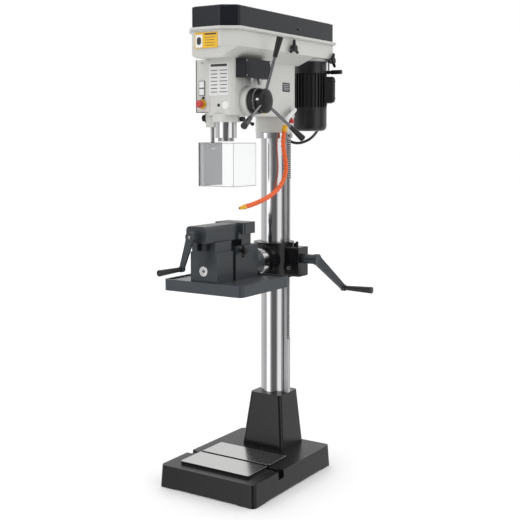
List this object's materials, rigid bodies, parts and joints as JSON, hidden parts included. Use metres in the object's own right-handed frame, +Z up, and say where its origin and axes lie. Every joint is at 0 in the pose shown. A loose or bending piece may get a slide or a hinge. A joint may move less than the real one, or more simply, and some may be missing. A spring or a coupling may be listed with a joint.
{
  "type": "floor-standing drill press",
  "caption": "Floor drill press with rack-and-crank table lift, tilting vise table, belt-driven spindle, clear chuck guard and coolant hose.",
  "frame": {"origin": "on the column's axis at floor level", "axes": "+Z up, -Y towards the operator, +X to the operator's right, the side of the feed handles and the rack"},
  "size_m": [0.5516, 1.0122, 1.7115],
  "materials": {
    "black_casting": "satin black paint",
    "grey_casting": "light warm grey gloss paint",
    "charcoal_cover": "charcoal gloss",
    "charcoal_casting": "dark grey paint",
    "ground_steel": "ground",
    "chrome": "polished",
    "dark_steel": "blackened",
    "steel_parts": "machined",
    "aluminium": "turned",
    "black_plastic": "moulded",
    "motor_paint": "satin black",
    "belt_rubber": "matt",
    "clear_sheet": "clear polycarbonate",
    "red_plastic": "gloss",
    "yellow_plastic": "gloss",
    "white_plastic": "gloss",
    "orange_plastic": "segmented hose",
    "cable_rubber": "matt"
  },
  "bodies": {
    "frame": {"base": "black_casting", "column_foot": "black_casting", "column": "ground_steel", "rack_collar": "chrome", "fasteners": "steel_parts", "head": "grey_casting", "pulley_housing": "grey_casting", "cover_hinge_pins": "steel_parts", "drive_belts": "belt_rubber", "control_box": "grey_casting", "estop_collar": "yellow_plastic", "switch_box": "black_plastic", "cable_glands": "steel_parts", "coolant_tap": "white_plastic", "coolant_hose": "orange_plastic", "coolant_nozzle": "yellow_plastic", "motor_cable": "cable_rubber"},
    "cover": {"belt_cover": "charcoal_cover"},
    "motor": {"motor_mount": "grey_casting", "motor_body": "motor_paint", "motor_fan_cover": "motor_paint", "terminal_box": "motor_paint"},
    "rotor": {"motor_shaft": "steel_parts", "motor_pulley": "aluminium"},
    "front_knob": {"front_lock_knob": "black_plastic"},
    "rear_knob": {"rear_lock_knob": "black_plastic"},
    "tensioner": {"tension_lever": "black_plastic"},
    "idler": {"idler_pulley": "aluminium"},
    "drive_sleeve": {"spindle_pulley": "aluminium"},
    "quill_body": {"quill": "chrome", "spindle_bearings": "steel_parts"},
    "spindle_body": {"spindle": "steel_parts"},
    "feed_handle": {"feed_shaft": "steel_parts", "feed_hub": "black_plastic", "feed_arms": "chrome", "feed_grips": "black_plastic"},
    "dial": {"depth_dial": "black_plastic"},
    "quill_clamp": {"quill_lock": "black_plastic"},
    "start_key": {"start_button": "white_plastic"},
    "stop_key": {"stop_button": "white_plastic"},
    "stop_mushroom": {"emergency_stop": "red_plastic"},
    "coolant_valve": {"coolant_knob": "red_plastic"},
    "guard_post": {"guard_rod": "steel_parts"},
    "guard": {"guard_side_plate": "black_plastic", "guard_shield": "clear_sheet"},
    "guard_clamp": {"guard_knob": "black_plastic"},
    "rack_body": {"rack": "dark_steel"},
    "bracket": {"table_bracket": "black_casting", "trunnion": "ground_steel"},
    "climbing_gear": {"elevation_gear": "steel_parts"},
    "lift_crank": {"crank_shaft": "steel_parts", "table_crank": "charcoal_casting"},
    "lift_grip": {"table_crank_grip": "black_plastic"},
    "bracket_clamp": {"table_lock": "black_plastic"},
    "vise_table": {"table": "charcoal_casting", "vise_body": "charcoal_casting"},
    "swivel_clamp": {"swivel_lock": "black_plastic"},
    "jaw_slide": {"vise_slide": "charcoal_casting"},
    "jaw_crank": {"vise_screw": "charcoal_casting"},
    "jaw_grip": {"vise_crank_grip": "black_plastic"}
  },
  "joints": [
    {"name": "belt_cover_hinge", "type": "hinge", "parent": "frame", "child": "cover", "pos_m": [-0.129, 0, 1.64], "axis": [0, -1, 0], "range_deg": [0, 95]},
    {"name": "motor_tension", "type": "slide", "parent": "frame", "child": "motor", "axis": [0, 1, 0], "range_m": [-0.012, 0]},
    {"name": "motor_spin", "type": "hinge", "parent": "motor", "child": "rotor", "pos_m": [0.041, 0.202, 1.45], "axis": [0, 0, 1], "continuous": true},
    {"name": "front_knob_turn", "type": "hinge", "parent": "frame", "child": "front_knob", "pos_m": [0.118, -0.065, 1.59], "axis": [1, 0, 0], "range_deg": [-180, 180]},
    {"name": "rear_knob_turn", "type": "hinge", "parent": "motor", "child": "rear_knob", "pos_m": [0.118, 0.238, 1.5658], "axis": [1, 0, 0], "range_deg": [-180, 180]},
    {"name": "tension_lever_swing", "type": "hinge", "parent": "motor", "child": "tensioner", "pos_m": [0.099, 0.248, 1.52], "axis": [0, 0, 1], "range_deg": [-40, 40]},
    {"name": "idler_spin", "type": "hinge", "parent": "frame", "child": "idler", "pos_m": [0.02, -0.062, 1.64], "axis": [0, 0, 1], "continuous": true},
    {"name": "sleeve_spin", "type": "hinge", "parent": "frame", "child": "drive_sleeve", "pos_m": [0, -0.321, 1.64], "axis": [0, 0, 1], "continuous": true},
    {"name": "quill_feed", "type": "slide", "parent": "frame", "child": "quill_body", "axis": [0, 0, -1], "range_m": [0, 0.12], "stiffness_N_per_m": 300, "springref_m": -0.35},
    {"name": "spindle_spin", "type": "hinge", "parent": "quill_body", "child": "spindle_body", "pos_m": [0, -0.321, 1.4], "axis": [0, 0, 1], "continuous": true},
    {"name": "feed_turn", "type": "hinge", "parent": "frame", "child": "feed_handle", "pos_m": [0.1, -0.2745, 1.391], "axis": [1, 0, 0], "range_deg": [0, 573]},
    {"name": "depth_dial_turn", "type": "hinge", "parent": "feed_handle", "child": "dial", "pos_m": [0.1, -0.2745, 1.391], "axis": [1, 0, 0], "range_deg": [-180, 180]},
    {"name": "quill_lock_turn", "type": "hinge", "parent": "frame", "child": "quill_clamp", "pos_m": [0.056, -0.3, 1.328], "axis": [1, 0, 0], "range_deg": [-25, 12]},
    {"name": "start_press", "type": "slide", "parent": "frame", "child": "start_key", "axis": [0, 1, 0], "range_m": [0, 0.003], "stiffness_N_per_m": 300},
    {"name": "stop_press", "type": "slide", "parent": "frame", "child": "stop_key", "axis": [0, 1, 0], "range_m": [0, 0.003], "stiffness_N_per_m": 300},
    {"name": "emergency_press", "type": "slide", "parent": "frame", "child": "stop_mushroom", "axis": [0, 1, 0], "range_m": [0, 0.004], "stiffness_N_per_m": 400},
    {"name": "coolant_valve_turn", "type": "hinge", "parent": "frame", "child": "coolant_valve", "pos_m": [0.084, -0.012, 1.33], "axis": [0, 0, 1], "range_deg": [0, 270]},
    {"name": "guard_height", "type": "slide", "parent": "frame", "child": "guard_post", "axis": [0, 0, 1], "range_m": [-0.04, 0]},
    {"name": "guard_swing", "type": "hinge", "parent": "guard_post", "child": "guard", "pos_m": [-0.062, -0.316, 1.23], "axis": [0, 0, 1], "range_deg": [-110, 0]},
    {"name": "guard_knob_turn", "type": "hinge", "parent": "frame", "child": "guard_clamp", "pos_m": [-0.09, -0.316, 1.333], "axis": [1, 0, 0], "range_deg": [-180, 180]},
    {"name": "table_swing", "type": "hinge", "parent": "frame", "child": "rack_body", "pos_m": [0, 0, 0.8], "axis": [0, 0, 1], "range_deg": [-180, 180]},
    {"name": "table_lift", "type": "slide", "parent": "rack_body", "child": "bracket", "axis": [0, 0, 1], "range_m": [-0.2501, 0.03509]},
    {"name": "climbing_gear_spin", "type": "hinge", "parent": "bracket", "child": "climbing_gear", "pos_m": [0.089, 0, 0.774], "axis": [0, 1, 0], "range_deg": [-91, 638]},
    {"name": "lift_crank_turn", "type": "hinge", "parent": "bracket", "child": "lift_crank", "pos_m": [0.15, 0, 0.808], "axis": [1, 0, 0], "range_deg": [-11459, 1604]},
    {"name": "lift_grip_spin", "type": "hinge", "parent": "lift_crank", "child": "lift_grip", "pos_m": [0.28, 0.15, 0.685], "axis": [1, 0, 0], "continuous": true},
    {"name": "bracket_clamp_turn", "type": "hinge", "parent": "bracket", "child": "bracket_clamp", "pos_m": [0.088, 0.018, 0.857], "axis": [0, 0, 1], "range_deg": [-45, 45]},
    {"name": "vise_swivel", "type": "hinge", "parent": "bracket", "child": "vise_table", "pos_m": [0, -0.25, 0.802], "axis": [0, 1, 0], "range_deg": [-180, 180]},
    {"name": "swivel_clamp_turn", "type": "hinge", "parent": "vise_table", "child": "swivel_clamp", "pos_m": [0.07, -0.312, 0.864], "axis": [1, 0, 0], "range_deg": [-90, 90]},
    {"name": "jaw_travel", "type": "slide", "parent": "vise_table", "child": "jaw_slide", "axis": [0, -1, 0], "range_m": [-0.0041, 0.0701]},
    {"name": "jaw_screw_turn", "type": "hinge", "parent": "jaw_slide", "child": "jaw_crank", "pos_m": [0, -0.45, 0.927], "axis": [0, 1, 0], "range_deg": [-288, 5040]},
    {"name": "jaw_grip_spin", "type": "hinge", "parent": "jaw_crank", "child": "jaw_grip", "pos_m": [-0.033, -0.6, 0.817], "axis": [0, 1, 0], "continuous": true}
  ],
  "couplings": [
    {"joint": "idler_spin", "follows": "motor_spin", "ratio": 0.74074},
    {"joint": "sleeve_spin", "follows": "motor_spin", "ratio": 0.8642},
    {"joint": "spindle_spin", "follows": "motor_spin", "ratio": 0.8642},
    {"joint": "feed_turn", "follows": "quill_feed", "rad_per_m": 83.333},
    {"joint": "table_lift", "follows": "lift_crank_turn", "m_per_rad": 0.00125},
    {"joint": "climbing_gear_spin", "follows": "lift_crank_turn", "ratio": -0.055556},
    {"joint": "jaw_travel", "follows": "jaw_screw_turn", "m_per_rad": 0.00079577}
  ]
}
